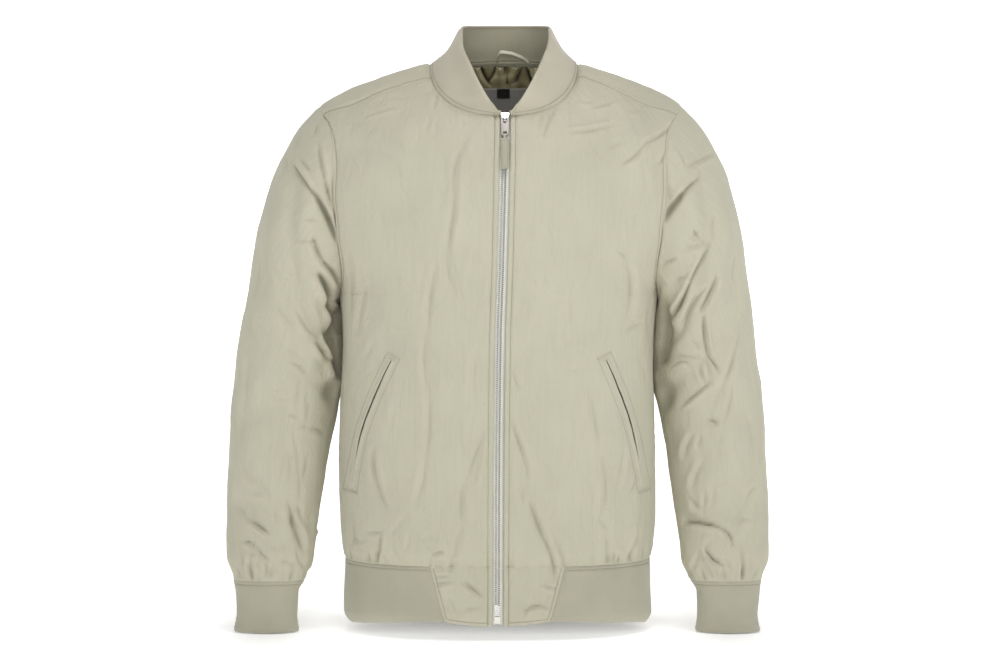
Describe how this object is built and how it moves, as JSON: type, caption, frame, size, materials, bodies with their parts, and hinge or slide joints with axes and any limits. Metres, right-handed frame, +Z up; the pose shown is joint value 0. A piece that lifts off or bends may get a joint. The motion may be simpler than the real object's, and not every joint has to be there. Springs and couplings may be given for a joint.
{
  "type": "bomber jacket",
  "caption": "Zip-up bomber jacket with rib collar, cuffs and hem band and two slanted side pockets, in its worn, hollow form.",
  "frame": {"origin": "middle of the neck opening, level with the points where the shoulders meet the neck, where the jacket hangs on its wearer", "axes": "+Z up, the front of the jacket to -Y, the wearer's left to +X"},
  "size_m": [0.672, 0.2664, 0.7601],
  "materials": {
    "shell_cloth": "matt sage cotton and nylon plain weave",
    "rib_knit": "matt fine rib knit",
    "zip_tape": "matt woven tape",
    "zip_metal": "bright nickel plating",
    "lining_satin": "satin",
    "label_woven": "woven satin label",
    "size_tab_woven": "woven, black"
  },
  "bodies": {
    "jacket": {"front_left": "shell_cloth", "front_right": "shell_cloth", "back": "shell_cloth", "sleeve_left": "shell_cloth", "sleeve_right": "shell_cloth", "pocket_left_fore": "shell_cloth", "pocket_left_aft": "shell_cloth", "pocket_right_fore": "shell_cloth", "pocket_right_aft": "shell_cloth", "hanger_loop": "shell_cloth", "collar": "rib_knit", "hem_rib": "rib_knit", "cuff_left": "rib_knit", "cuff_right": "rib_knit", "zip_tape_left": "zip_tape", "zip_tape_right": "zip_tape", "zip_chain": "zip_metal", "zip_slider": "zip_metal", "zip_box": "zip_metal", "back_lining": "lining_satin", "neck_label": "label_woven", "size_tab": "size_tab_woven"},
    "zip_pull": {"zip_tab": "zip_metal", "zip_puller": "shell_cloth"}
  },
  "joints": [
    {"name": "pull_tab_swing", "type": "hinge", "parent": "jacket", "child": "zip_pull", "pos_m": [0.00599, -0.10186, -0.07843], "axis": [-1, 0, 0], "range_deg": [0, 110]}
  ]
}
